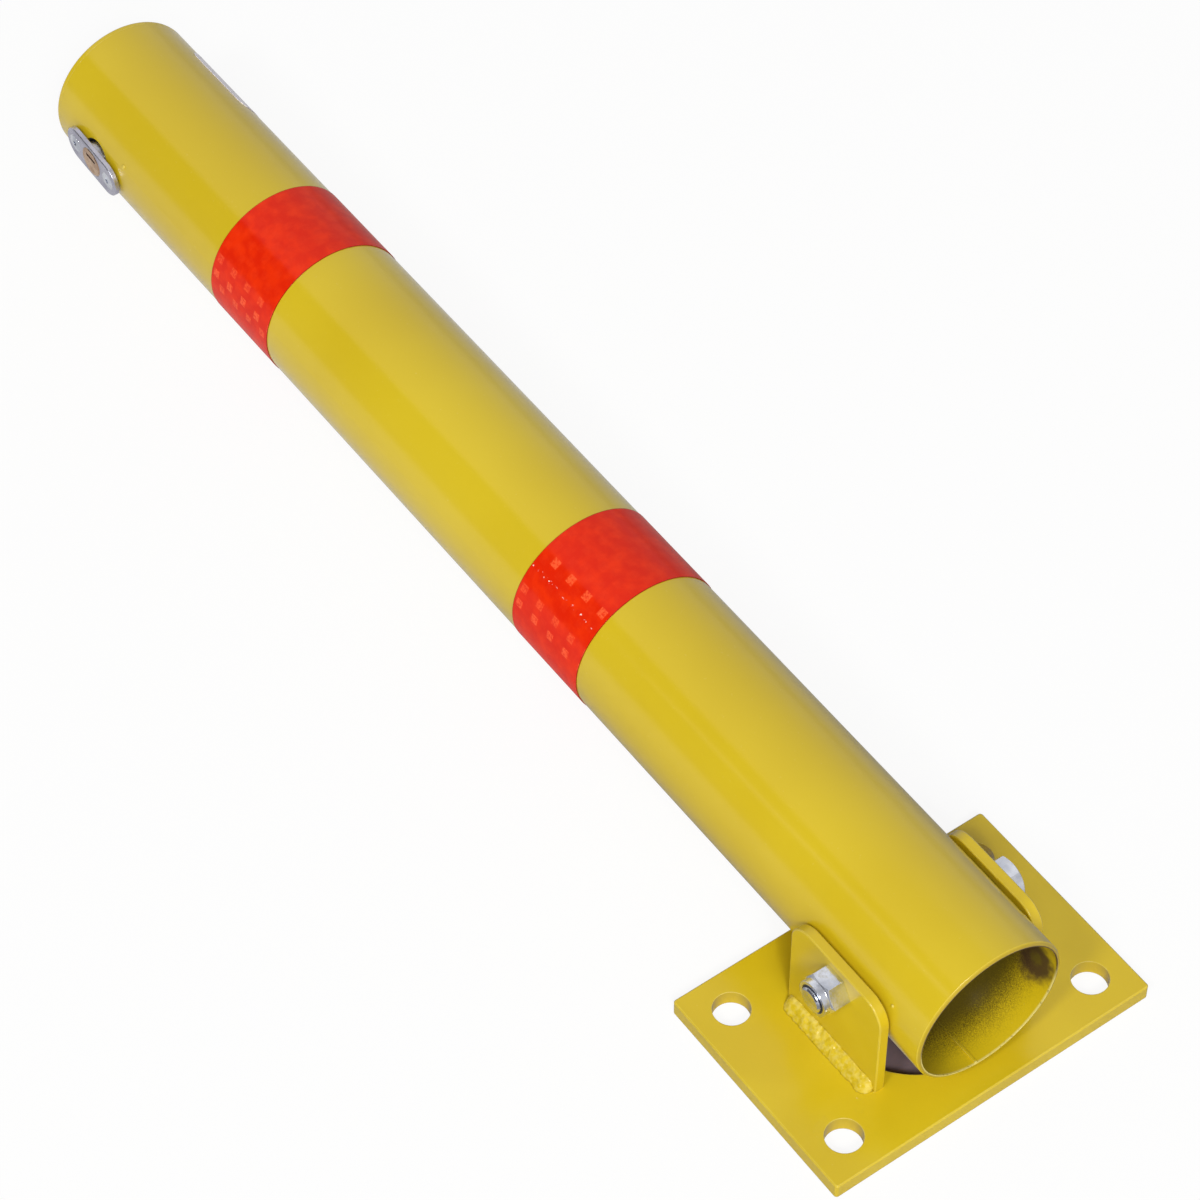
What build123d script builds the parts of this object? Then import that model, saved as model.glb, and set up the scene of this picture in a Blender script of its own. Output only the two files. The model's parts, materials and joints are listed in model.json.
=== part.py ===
from build123d import *
import math
import os

os.makedirs("parts", exist_ok=True)

# Lockable parking bollard, lying folded. All sizes are in millimetres and all angles in degrees.
# X runs along the folded post, with its open foot at +X and its top at -X.
# Y runs along the pivot bolt, from the nut (near side, -Y) to the bolt head (far side, +Y).
# Z is up. The origin is on the ground under the pivot, in the middle of the anchor holes.
# Upper and lower in a name mean nearer the top and nearer the foot of the post.

# Base plate
plate_length = 114
plate_width = 170
plate_thickness = 8
plate_corner_radius = 1.5
plate_edge_break = 0.5
anchor_hole_diameter = 17
anchor_spacing_x = 78
anchor_spacing_y = 134

# Post tube and its cap
post_diameter = 76
post_wall = 2
post_top_reach = 638
post_plate_gap = 7
foot_bevel = 1
cap_thickness = 3
cap_edge_radius = 1.5
cap_spigot_length = 8
cap_spigot_wall = 2

# Ears and their weld beads
ear_width = 60
ear_rise = 13
ear_thickness = 5
ear_corner_radius = 12
ear_edge_break = 0.4
weld_size = 6
weld_ripple = 0.5
weld_ripple_count = 13
weld_end_inset = 1

# Pivot bolt, lock nut and sleeve
bolt_diameter = 12
bolt_across_flats = 18
bolt_head_height = 7.5
bolt_end_length = 1.5
bolt_end_bevel = 0.8
hex_corner_break = 0.5
hex_corner_taper = 60
nut_hex_height = 9
nut_collar_height = 3
nut_collar_wall = 0.9
nut_lip_height = 0.5
nut_lip_width = 0.7
insert_wall = 1.7
insert_height = 2.4
sleeve_wall = 0.8

# Slide bushes, which turn on the sleeve and run in the slots of the tube
bush_length = 20
bush_wall = 1.2
bush_nose_wall = 2
bush_flange_lip = 3.5
bush_flange_thickness = 2
bush_corner_radius = 2

# Travel of the post along the bushes, with the post upright: down into the plate, or up to fold
drop_travel = 4

# Index plate on the sleeve, which the rod's tip enters
index_thickness = 10
index_collar_wall = 5
notch_floor_wall = 3.5
notch_engagement = 2.5
set_screw_diameter = 6
set_screw_socket = 3
set_screw_socket_depth = 2.4

# Lock rod and its two guides
rod_diameter = 10
rod_tip_bevel = 1.5
tip_release = 2
guide_thickness = 8
upper_guide_offset = 38
lower_guide_reach = 71
yoke_thickness = 6
yoke_wall = 4.5
yoke_corner_radius = 3

# Lock plate with its two screws and rivet nuts, which sit a little askew on the post
lock_from_top = 38
lock_plate_length = 45
lock_plate_width = 19
lock_plate_turn = 4.5
lock_plate_thickness = 2.5
lock_plate_edge_break = 0.4
lock_screw_spacing = 30
lock_screw_diameter = 5
lock_screw_head_diameter = 9.5
lock_screw_dome = 0.4
lock_screw_length = 11
lock_screw_socket = 2.5
lock_screw_socket_depth = 1.3
rivet_nut_wall = 0.75
rivet_nut_length = 10
rivet_nut_flange_diameter = 9.2
rivet_nut_flange_thickness = 0.8

# Lock housing, plug, cam and crank pin
housing_diameter = 18
plug_face_diameter = 15.5
plug_diameter = 12
plug_proud = 0.3
plug_edge_break = 0.4
plug_tail_width = 7
plug_tail_relief = 0.2
keyway_width = 1.8
keyway_offset = 2.8
keyway_wall = 0.4
keyway_depth = 18
cam_thickness = 3
cam_hub_diameter = 16
cam_tip_wall = 1.7
cam_screw_diameter = 4
cam_screw_length = 8
cam_screw_head_diameter = 9
cam_screw_head_height = 2.6
crank_pin_diameter = 5
crank_pin_end_gap = 1
crank_turn = 90

# Reflective bands and the blank label
band_width = 49
band_thickness = 0.3
upper_band_from_pivot = 469
lower_band_from_pivot = 217
label_length = 50
label_thickness = 0.2
label_from_top = 48
label_top_angle = 47
label_arc = 62

# Clearances
seat_gap = 0.05
film_gap = 0.02
running_gap = 0.1
sleeve_running_gap = 0.05
end_gap = 0.1
side_gap = 0.3
guide_gap = 0.2
bolt_gap = 0.2
ear_gap = 0.6
foot_gap = 2
foot_ground_gap = 1
swing_ground_gap = 0.7
swing_plate_gap = 0.4
travel_gap = 0.5
nose_gap = 0.4
notch_gap = 0.8
tip_gap = 0.5
crank_gap = 0.6
yoke_gap = 1
lock_hole_gap = 2

# Worked out: post and pivot. Dropped in, the foot ends just above the ground.
post_radius = post_diameter / 2
bore_radius = post_radius - post_wall
pivot_z = plate_thickness + post_plate_gap + post_radius
post_foot_reach = pivot_z - foot_ground_gap - drop_travel
tube_top_x = cap_thickness - post_top_reach

# Worked out: the lift that lets the foot's corner swing round clear of the ground,
# and the opening in the plate that the foot drops and swings through
foot_corner_y = post_radius - foot_bevel
lift_travel = post_foot_reach - math.sqrt((pivot_z - swing_ground_gap) ** 2 - foot_corner_y**2)
foot_swing_radius = math.hypot(post_foot_reach, foot_corner_y)
foot_swing_at_plate = math.sqrt(foot_swing_radius**2 - (pivot_z - plate_thickness) ** 2)
foot_opening_radius = max(post_radius + foot_gap, foot_swing_at_plate + swing_plate_gap)

# Worked out: ears, bolt and nut
ear_inner_y = post_radius + ear_gap
ear_outer_y = ear_inner_y + ear_thickness
bolt_radius = bolt_diameter / 2
bolt_hole_radius = bolt_radius + bolt_gap
insert_radius = bolt_radius + insert_wall
nut_lip_y = ear_outer_y + nut_hex_height + nut_collar_height
insert_y = nut_lip_y - nut_lip_height
bolt_end_y = nut_lip_y + bolt_end_length

# Worked out: sleeve, bushes and the slots that the bushes run in
sleeve_radius = bolt_hole_radius + sleeve_wall
bush_bore_radius = sleeve_radius + sleeve_running_gap
bush_width = 2 * (sleeve_radius + bush_wall)
slot_width = bush_width + 2 * side_gap
slot_foot_x = bush_length / 2 + lift_travel + travel_gap
slot_top_x = -(bush_length / 2 + drop_travel + travel_gap)
bush_flange_size = slot_width + 2 * bush_flange_lip
bush_nose_y = max(index_thickness, rod_diameter) / 2 + nose_gap
bush_flange_outer_y = math.sqrt(bore_radius**2 - (bush_flange_size / 2) ** 2) - side_gap
bush_flange_inner_y = bush_flange_outer_y - bush_flange_thickness
bush_outer_y = ear_inner_y - side_gap

# Worked out: index plate and rod. The locked tip stays in its notch over the post's whole travel,
# and the unlocked tip clears the index plate with the post dropped in.
notch_floor = sleeve_radius + notch_floor_wall
locked_tip = notch_floor + tip_gap + drop_travel
index_radius = locked_tip + lift_travel + notch_engagement
unlocked_tip = index_radius + drop_travel + tip_release
rod_throw = unlocked_tip - locked_tip
rod_radius = rod_diameter / 2
index_collar_radius = sleeve_radius + index_collar_wall
notch_width = rod_diameter + 2 * notch_gap
index_side = notch_width / 2 + index_collar_wall
set_screw_radius = set_screw_diameter / 2

# Worked out: lock plate and its fastenings, outward from the post
lock_x = lock_from_top - post_top_reach
rivet_nut_seat_y = post_radius + seat_gap
lock_plate_back_y = rivet_nut_seat_y + rivet_nut_flange_thickness + seat_gap
lock_plate_front_y = lock_plate_back_y + lock_plate_thickness
lock_screw_radius = lock_screw_diameter / 2
lock_screw_head_radius = lock_screw_head_diameter / 2
lock_screw_dome_radius = (lock_screw_head_radius**2 + lock_screw_dome**2) / (2 * lock_screw_dome)
rivet_nut_radius = lock_screw_radius + rivet_nut_wall
lock_hole_radius = housing_diameter / 2 + lock_hole_gap

# Worked out: crank, yoke and cam, outward from the middle of the post.
# The crank ends its turn as far past square as it starts short of it, so that its chord is the throw.
crank_lean = math.radians(crank_turn / 2)
crank_radius = rod_throw / (2 * math.sin(crank_lean))
crank_pin_dx = -crank_radius * math.sin(crank_lean)
crank_pin_dz = crank_radius * math.cos(crank_lean)
crank_pin_radius = crank_pin_diameter / 2
yoke_slot_width = crank_pin_diameter + 2 * crank_gap
yoke_slot_bottom = crank_pin_dz - yoke_slot_width / 2
yoke_slot_top = crank_radius + yoke_slot_width / 2
yoke_width = yoke_slot_width + 2 * yoke_wall
yoke_top = yoke_slot_top + yoke_wall
rod_top_x = lock_x + crank_pin_dx - yoke_width / 2
cam_inner_y = yoke_thickness + yoke_gap + cam_screw_head_height
cam_outer_y = cam_inner_y + cam_thickness
housing_rear_y = cam_outer_y + side_gap
plug_head_back_y = lock_plate_back_y + end_gap
plug_face_y = lock_plate_front_y + plug_proud
plug_tail_y = cam_inner_y + plug_tail_relief
plug_radius = plug_diameter / 2
keyway_edge = keyway_offset + keyway_width / 2
keyway_length = 2 * math.sqrt((plug_radius - keyway_wall) ** 2 - keyway_edge**2)
cam_screw_radius = cam_screw_diameter / 2


def across_post(x):
    """Plane across the post, centred on its axis: sketch x is Y, sketch y is Z, normal +X."""
    return Plane(origin=(x, 0, pivot_z), x_dir=(0, 1, 0), z_dir=(1, 0, 0))


def facing_near(x, y):
    """Plane facing the near side, centred on the post's axis: sketch x is X, sketch y is Z, normal -Y."""
    return Plane(origin=(x, y, pivot_z), x_dir=(1, 0, 0), z_dir=(0, -1, 0))


def facing_lock(along, y):
    """Plane facing the near side, at a distance along the lock plate: sketch x runs along the plate."""
    turn = math.radians(lock_plate_turn)
    return Plane(
        origin=(lock_x + along * math.cos(turn), y, pivot_z - along * math.sin(turn)),
        x_dir=(math.cos(turn), 0, -math.sin(turn)),
        z_dir=(0, -1, 0),
    )


def make_ear(side):
    """Ear on the near side (-1) or the far side (1), standing on the plate."""
    with BuildPart() as ear:
        with BuildSketch(facing_near(0, side * ear_inner_y)) as outline:
            with Locations((0, ear_rise)):
                Rectangle(
                    ear_width,
                    ear_rise + pivot_z - plate_thickness,
                    align=(Align.CENTER, Align.MAX),
                )
            fillet(outline.vertices().group_by(Axis.Y)[-1], ear_corner_radius)
            Circle(bolt_hole_radius, mode=Mode.SUBTRACT)
        extrude(amount=-side * ear_thickness)
        rims = ear.faces().filter_by(Axis.Y).edges()
        standing = rims.filter_by(lambda edge: edge.center().Z > plate_thickness + ear_edge_break)
        chamfer(standing, ear_edge_break)
    return ear


def make_weld(side):
    """Rippled quarter-round weld bead along the outer foot of an ear."""
    half_length = ear_width / 2 - weld_end_inset
    pitch = 2 * half_length / weld_ripple_count
    root_y = side * ear_outer_y
    valley_y = side * (ear_outer_y + weld_size - weld_ripple)
    crest_y = side * (ear_outer_y + weld_size)
    with BuildPart() as weld:
        with BuildSketch(Plane.XY.offset(plate_thickness)):
            with BuildLine():
                for index in range(weld_ripple_count):
                    start = index * pitch - half_length
                    ThreePointArc(
                        (start, valley_y), (start + pitch / 2, crest_y), (start + pitch, valley_y)
                    )
                Polyline(
                    (half_length, valley_y),
                    (half_length, root_y),
                    (-half_length, root_y),
                    (-half_length, valley_y),
                )
            make_face()
        revolve(axis=Axis((0, root_y, plate_thickness), (side, 0, 0)), revolution_arc=90)
    return weld


def make_bush(side):
    """Slide bush: a block in the tube's slot, a flange behind the wall and a nose on the sleeve."""
    with BuildPart() as bush:
        with BuildSketch(facing_near(0, side * bush_nose_y)):
            Circle(sleeve_radius + bush_nose_wall)
        extrude(amount=-side * (bush_flange_inner_y - bush_nose_y))
        with BuildSketch(facing_near(0, side * bush_flange_inner_y)):
            RectangleRounded(bush_flange_size, bush_flange_size, bush_corner_radius)
        extrude(amount=-side * bush_flange_thickness)
        with BuildSketch(facing_near(0, side * bush_flange_outer_y)):
            Rectangle(bush_length, bush_width)
        extrude(amount=-side * (bush_outer_y - bush_flange_outer_y))
        with BuildSketch(facing_near(0, side * bush_nose_y)):
            Circle(bush_bore_radius)
        extrude(amount=-side * (bush_outer_y - bush_nose_y), mode=Mode.SUBTRACT)
    return bush


def make_band(from_pivot):
    """Reflective band round the post, centred at a distance from the pivot."""
    with BuildPart() as band:
        with BuildSketch(across_post(-from_pivot - band_width / 2)):
            Circle(post_radius + film_gap + band_thickness)
            Circle(post_radius + film_gap, mode=Mode.SUBTRACT)
        extrude(amount=band_width)
    return band


def make_lock_screw(along):
    """Screw with a low domed countersunk head, at a distance along the lock plate from its middle."""
    middle = facing_lock(along, -lock_plate_front_y).origin
    with BuildPart() as screw:
        with BuildSketch(Plane(origin=middle)):
            with BuildLine():
                CenterArc(
                    (0, lock_screw_dome_radius - lock_screw_dome),
                    lock_screw_dome_radius,
                    -90,
                    math.degrees(math.asin(lock_screw_head_radius / lock_screw_dome_radius)),
                )
                Polyline(
                    (lock_screw_head_radius, 0),
                    (lock_screw_radius, lock_screw_head_radius - lock_screw_radius),
                    (lock_screw_radius, lock_screw_length),
                    (0, lock_screw_length),
                    (0, -lock_screw_dome),
                )
            make_face()
        revolve(axis=Axis(middle, (0, 1, 0)))
        with BuildSketch(facing_lock(along, -(lock_plate_front_y + lock_screw_dome))):
            RegularPolygon(lock_screw_socket / 2, 6, major_radius=False)
        extrude(amount=-lock_screw_socket_depth, mode=Mode.SUBTRACT)
    return screw


def make_rivet_nut(along):
    """Rivet nut in the tube wall, behind a lock screw, with its flange under the lock plate."""
    with BuildPart() as nut:
        with BuildSketch(facing_lock(along, -rivet_nut_seat_y)):
            Circle(rivet_nut_flange_diameter / 2)
        extrude(amount=rivet_nut_flange_thickness)
        with BuildSketch(facing_lock(along, -rivet_nut_seat_y)):
            Circle(rivet_nut_radius)
        extrude(amount=-rivet_nut_length)
        with BuildSketch(facing_lock(along, -rivet_nut_seat_y - rivet_nut_flange_thickness)):
            Circle(lock_screw_radius + seat_gap)
        extrude(amount=-rivet_nut_flange_thickness - rivet_nut_length, mode=Mode.SUBTRACT)
    return nut


def make_guide(x):
    """Round guide that fills the tube and carries the rod, centred at x along the post."""
    with BuildPart() as guide:
        with BuildSketch(across_post(x - guide_thickness / 2)):
            Circle(bore_radius - guide_gap)
            Circle(rod_radius + running_gap, mode=Mode.SUBTRACT)
        extrude(amount=guide_thickness)
    return guide


# Base plate: the foot of the upright post drops through its middle opening
with BuildPart() as base_plate:
    with BuildSketch():
        RectangleRounded(plate_length, plate_width, plate_corner_radius)
        Circle(foot_opening_radius, mode=Mode.SUBTRACT)
        with GridLocations(anchor_spacing_x, anchor_spacing_y, 2, 2):
            Circle(anchor_hole_diameter / 2, mode=Mode.SUBTRACT)
    extrude(amount=plate_thickness)
    top_face = base_plate.faces().sort_by(Axis.Z)[-1]
    chamfer(top_face.outer_wire().edges(), plate_edge_break)
base_plate.part.label = "base_plate"
export_step(base_plate.part, "parts/base_plate.step")

# Two ears, each with a weld bead along its outer foot, and the two bushes that turn between them
for side, side_name in ((-1, "near"), (1, "far")):
    ear = make_ear(side)
    ear.part.label = f"{side_name}_ear"
    export_step(ear.part, f"parts/{side_name}_ear.step")
    weld = make_weld(side)
    weld.part.label = f"{side_name}_ear_weld"
    export_step(weld.part, f"parts/{side_name}_ear_weld.step")
    bush = make_bush(side)
    bush.part.label = f"{side_name}_slide_bush"
    export_step(bush.part, f"parts/{side_name}_slide_bush.step")

# Pivot bolt: hexagon head beyond the far ear, shank through both ears and the sleeve
with BuildPart() as pivot_bolt:
    with BuildSketch(facing_near(0, ear_outer_y + bolt_head_height)):
        RegularPolygon(bolt_across_flats / 2, 6, major_radius=False)
    extrude(amount=bolt_head_height)
    with BuildSketch(facing_near(0, ear_outer_y + bolt_head_height)):
        Circle(bolt_across_flats / 2 - hex_corner_break)
    extrude(amount=bolt_head_height, taper=-hex_corner_taper, mode=Mode.INTERSECT)
    with BuildSketch(facing_near(0, ear_outer_y)):
        Circle(bolt_radius)
    extrude(amount=ear_outer_y + bolt_end_y)
    chamfer(pivot_bolt.edges().sort_by(Axis.Y)[0], bolt_end_bevel)
pivot_bolt.part.label = "pivot_bolt"
export_step(pivot_bolt.part, "parts/pivot_bolt.step")

# Lock nut: hexagon against the near ear, with a collar crimped over the insert ring
with BuildPart() as pivot_nut:
    with BuildSketch(facing_near(0, -ear_outer_y)):
        RegularPolygon(bolt_across_flats / 2, 6, major_radius=False)
    extrude(amount=nut_hex_height)
    with BuildSketch(facing_near(0, -ear_outer_y - nut_hex_height)):
        Circle(bolt_across_flats / 2 - hex_corner_break)
    extrude(amount=-nut_hex_height, taper=-hex_corner_taper, mode=Mode.INTERSECT)
    with BuildSketch(facing_near(0, -ear_outer_y - nut_hex_height)):
        Circle(insert_radius + nut_collar_wall)
    extrude(amount=nut_collar_height)
    with BuildSketch(facing_near(0, -ear_outer_y)):
        Circle(bolt_radius + seat_gap)
    extrude(amount=nut_hex_height + nut_collar_height, mode=Mode.SUBTRACT)
    with BuildSketch(facing_near(0, -insert_y)):
        Circle(insert_radius + seat_gap)
    extrude(amount=-insert_height, mode=Mode.SUBTRACT)
    with BuildSketch(facing_near(0, -insert_y)):
        Circle(insert_radius - nut_lip_width)
    extrude(amount=nut_lip_height, mode=Mode.SUBTRACT)
pivot_nut.part.label = "pivot_nut"
export_step(pivot_nut.part, "parts/pivot_nut.step")

# Insert ring in the collar of the nut
with BuildPart() as nut_insert:
    with BuildSketch(facing_near(0, -insert_y)):
        Circle(insert_radius)
        Circle(bolt_radius + seat_gap, mode=Mode.SUBTRACT)
    extrude(amount=-insert_height)
nut_insert.part.label = "nut_insert"
export_step(nut_insert.part, "parts/nut_insert.step")

# Sleeve on the bolt, clamped between the ears
with BuildPart() as pivot_sleeve:
    with BuildSketch(facing_near(0, ear_inner_y)):
        Circle(sleeve_radius)
        Circle(bolt_hole_radius, mode=Mode.SUBTRACT)
    extrude(amount=2 * ear_inner_y)
pivot_sleeve.part.label = "pivot_sleeve"
export_step(pivot_sleeve.part, "parts/pivot_sleeve.step")

# Index plate: one notch towards the folded post (-X) and one towards the upright post (+Z)
with BuildPart() as index_plate:
    with BuildSketch(facing_near(0, index_thickness / 2)):
        Circle(index_radius)
        with Locations((index_side, 0)):
            Rectangle(
                index_radius, 2 * index_radius, align=(Align.MIN, Align.CENTER), mode=Mode.SUBTRACT
            )
        with Locations((0, -index_side)):
            Rectangle(
                2 * index_radius, index_radius, align=(Align.CENTER, Align.MAX), mode=Mode.SUBTRACT
            )
        Circle(index_collar_radius)
        with Locations((-notch_floor, 0)):
            Rectangle(index_radius, notch_width, align=(Align.MAX, Align.CENTER), mode=Mode.SUBTRACT)
        with Locations((0, notch_floor)):
            Rectangle(notch_width, index_radius, align=(Align.CENTER, Align.MIN), mode=Mode.SUBTRACT)
        Circle(sleeve_radius + seat_gap, mode=Mode.SUBTRACT)
    extrude(amount=index_thickness)
    with BuildSketch(across_post(sleeve_radius)):
        Circle(set_screw_radius + seat_gap)
    extrude(amount=index_collar_wall, mode=Mode.SUBTRACT)
index_plate.part.label = "index_plate"
export_step(index_plate.part, "parts/index_plate.step")

# Set screw that holds the index plate on the sleeve
with BuildPart() as index_set_screw:
    with BuildSketch(across_post(sleeve_radius + seat_gap)):
        Circle(set_screw_radius)
    extrude(amount=index_collar_wall - seat_gap)
    with BuildSketch(across_post(index_collar_radius)):
        RegularPolygon(set_screw_socket / 2, 6, major_radius=False)
    extrude(amount=-set_screw_socket_depth, mode=Mode.SUBTRACT)
index_set_screw.part.label = "index_set_screw"
export_step(index_set_screw.part, "parts/index_set_screw.step")

# Post tube: open at its foot, with a slot in each side for the bushes and a hole for the lock
with BuildPart() as post_tube:
    with BuildSketch(across_post(tube_top_x)):
        Circle(post_radius)
        Circle(bore_radius, mode=Mode.SUBTRACT)
    extrude(amount=post_foot_reach - tube_top_x)
    foot_edges = post_tube.edges().group_by(Axis.X)[-1]
    chamfer(foot_edges.sort_by(SortBy.RADIUS)[-1], foot_bevel)
    with BuildSketch(facing_near((slot_top_x + slot_foot_x) / 2, post_radius)):
        Rectangle(slot_foot_x - slot_top_x, slot_width)
    extrude(amount=post_diameter, mode=Mode.SUBTRACT)
    with BuildSketch(facing_lock(0, 0)):
        Circle(lock_hole_radius)
        with GridLocations(lock_screw_spacing, 0, 2, 1):
            Circle(rivet_nut_radius + running_gap)
    extrude(amount=post_radius, mode=Mode.SUBTRACT)
post_tube.part.label = "post_tube"
export_step(post_tube.part, "parts/post_tube.step")

# Cap that closes the top of the post
with BuildPart() as top_cap:
    with BuildSketch(across_post(-post_top_reach)):
        Circle(post_radius)
    extrude(amount=cap_thickness)
    fillet(top_cap.edges().sort_by(Axis.X)[0], cap_edge_radius)
    with BuildSketch(across_post(tube_top_x)):
        Circle(bore_radius - running_gap)
        Circle(bore_radius - running_gap - cap_spigot_wall, mode=Mode.SUBTRACT)
    extrude(amount=cap_spigot_length)
top_cap.part.label = "top_cap"
export_step(top_cap.part, "parts/top_cap.step")

# Two reflective bands, and two guides for the rod
for name, from_pivot in (("upper", upper_band_from_pivot), ("lower", lower_band_from_pivot)):
    band = make_band(from_pivot)
    band.part.label = f"{name}_reflective_band"
    export_step(band.part, f"parts/{name}_reflective_band.step")
for name, guide_x in (("upper", lock_x + upper_guide_offset), ("lower", -lower_guide_reach)):
    guide = make_guide(guide_x)
    guide.part.label = f"{name}_rod_guide"
    export_step(guide.part, f"parts/{name}_rod_guide.step")

# Blank label, bent round the far side of the post
with BuildPart() as blank_label:
    with BuildSketch(across_post(label_from_top - post_top_reach - label_length / 2)):
        with BuildLine():
            inner = CenterArc((0, 0), post_radius + film_gap, label_top_angle - label_arc, label_arc)
            outer = CenterArc(
                (0, 0), post_radius + film_gap + label_thickness, label_top_angle - label_arc, label_arc
            )
            Line(inner @ 0, outer @ 0)
            Line(inner @ 1, outer @ 1)
        make_face()
    extrude(amount=label_length)
blank_label.part.label = "blank_label"
export_step(blank_label.part, "parts/blank_label.step")

# Lock plate, with rounded ends and two countersunk holes
with BuildPart() as lock_plate:
    with BuildSketch(facing_lock(0, -lock_plate_back_y)):
        SlotOverall(lock_plate_length, lock_plate_width)
        Circle(plug_face_diameter / 2 + running_gap, mode=Mode.SUBTRACT)
    extrude(amount=lock_plate_thickness)
    front_face = lock_plate.faces().sort_by(Axis.Y)[0]
    chamfer(front_face.outer_wire().edges(), lock_plate_edge_break)
    with Locations(facing_lock(0, -lock_plate_front_y)):
        with GridLocations(lock_screw_spacing, 0, 2, 1):
            CounterSinkHole(lock_screw_radius + seat_gap, lock_screw_head_radius + seat_gap)
lock_plate.part.label = "lock_plate"
export_step(lock_plate.part, "parts/lock_plate.step")

# A screw and a rivet nut at each end of the lock plate
for name, along in (("upper", -lock_screw_spacing / 2), ("lower", lock_screw_spacing / 2)):
    screw = make_lock_screw(along)
    screw.part.label = f"{name}_lock_screw"
    export_step(screw.part, f"parts/{name}_lock_screw.step")
    rivet_nut = make_rivet_nut(along)
    rivet_nut.part.label = f"{name}_rivet_nut"
    export_step(rivet_nut.part, f"parts/{name}_rivet_nut.step")

# Lock housing, behind the lock plate
with BuildPart() as lock_housing:
    with BuildSketch(facing_near(lock_x, -housing_rear_y)):
        Circle(housing_diameter / 2)
        Circle(plug_radius + running_gap, mode=Mode.SUBTRACT)
    extrude(amount=lock_plate_back_y - housing_rear_y)
lock_housing.part.label = "lock_housing"
export_step(lock_housing.part, "parts/lock_housing.step")

# Lock plug: wide face in the lock plate, core in the housing and a square tail for the cam
with BuildPart() as lock_plug:
    with BuildSketch(facing_near(lock_x, -plug_head_back_y)):
        Circle(plug_face_diameter / 2)
    extrude(amount=plug_face_y - plug_head_back_y)
    chamfer(lock_plug.edges().sort_by(Axis.Y)[0], plug_edge_break)
    with BuildSketch(facing_near(lock_x, -cam_outer_y)):
        Circle(plug_radius)
    extrude(amount=plug_head_back_y - cam_outer_y)
    with BuildSketch(facing_near(lock_x, -plug_tail_y)):
        Rectangle(plug_tail_width, plug_tail_width)
    extrude(amount=cam_outer_y - plug_tail_y)
    with BuildSketch(facing_lock(0, -plug_face_y)):
        with Locations((0, keyway_offset)):
            Rectangle(keyway_length, keyway_width)
    extrude(amount=-keyway_depth, mode=Mode.SUBTRACT)
    with BuildSketch(facing_near(lock_x, -cam_inner_y)):
        Circle(cam_screw_radius + seat_gap)
    extrude(amount=cam_screw_length + travel_gap, mode=Mode.SUBTRACT)
lock_plug.part.label = "lock_plug"
export_step(lock_plug.part, "parts/lock_plug.step")

# Cam on the plug's tail, with an arm out to the crank pin
with BuildPart() as lock_cam:
    with BuildSketch(facing_near(lock_x, -cam_inner_y)):
        Circle(cam_hub_diameter / 2)
        with Locations((crank_pin_dx, crank_pin_dz)):
            Circle(crank_pin_radius + cam_tip_wall)
        make_hull()
        Rectangle(
            plug_tail_width + 2 * seat_gap, plug_tail_width + 2 * seat_gap, mode=Mode.SUBTRACT
        )
        with Locations((crank_pin_dx, crank_pin_dz)):
            Circle(crank_pin_radius + seat_gap, mode=Mode.SUBTRACT)
    extrude(amount=cam_thickness)
lock_cam.part.label = "lock_cam"
export_step(lock_cam.part, "parts/lock_cam.step")

# Crank pin, from the cam into the slot of the yoke
with BuildPart() as crank_pin:
    with BuildSketch(facing_near(lock_x, -crank_pin_end_gap)):
        with Locations((crank_pin_dx, crank_pin_dz)):
            Circle(crank_pin_radius)
    extrude(amount=cam_outer_y - crank_pin_end_gap)
crank_pin.part.label = "crank_pin"
export_step(crank_pin.part, "parts/crank_pin.step")

# Screw that holds the cam on the plug's tail
with BuildPart() as cam_screw:
    with BuildSketch(facing_near(lock_x, -cam_inner_y + cam_screw_head_height)):
        Circle(cam_screw_head_diameter / 2)
    extrude(amount=cam_screw_head_height)
    with BuildSketch(facing_near(lock_x, -cam_inner_y)):
        Circle(cam_screw_radius)
    extrude(amount=cam_screw_length)
cam_screw.part.label = "cam_screw"
export_step(cam_screw.part, "parts/cam_screw.step")

# Lock rod: a yoke at its top, which the crank pin drives, and a bevelled tip at its foot
with BuildPart() as lock_rod:
    with BuildSketch(across_post(rod_top_x)):
        Circle(rod_radius)
    extrude(amount=-unlocked_tip - rod_top_x)
    chamfer(lock_rod.edges().sort_by(Axis.X)[-1], rod_tip_bevel)
    with BuildSketch(facing_near(lock_x + crank_pin_dx, 0)) as yoke:
        Rectangle(yoke_width, yoke_top, align=(Align.CENTER, Align.MIN))
        fillet(yoke.vertices().group_by(Axis.Y)[-1], yoke_corner_radius)
        with Locations((0, (yoke_slot_bottom + yoke_slot_top) / 2)):
            SlotOverall(
                yoke_slot_top - yoke_slot_bottom, yoke_slot_width, rotation=90, mode=Mode.SUBTRACT
            )
    extrude(amount=yoke_thickness)
lock_rod.part.label = "lock_rod"
export_step(lock_rod.part, "parts/lock_rod.step")
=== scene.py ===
import json
import math

import bmesh
import bpy
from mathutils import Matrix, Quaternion, Vector, noise


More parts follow.
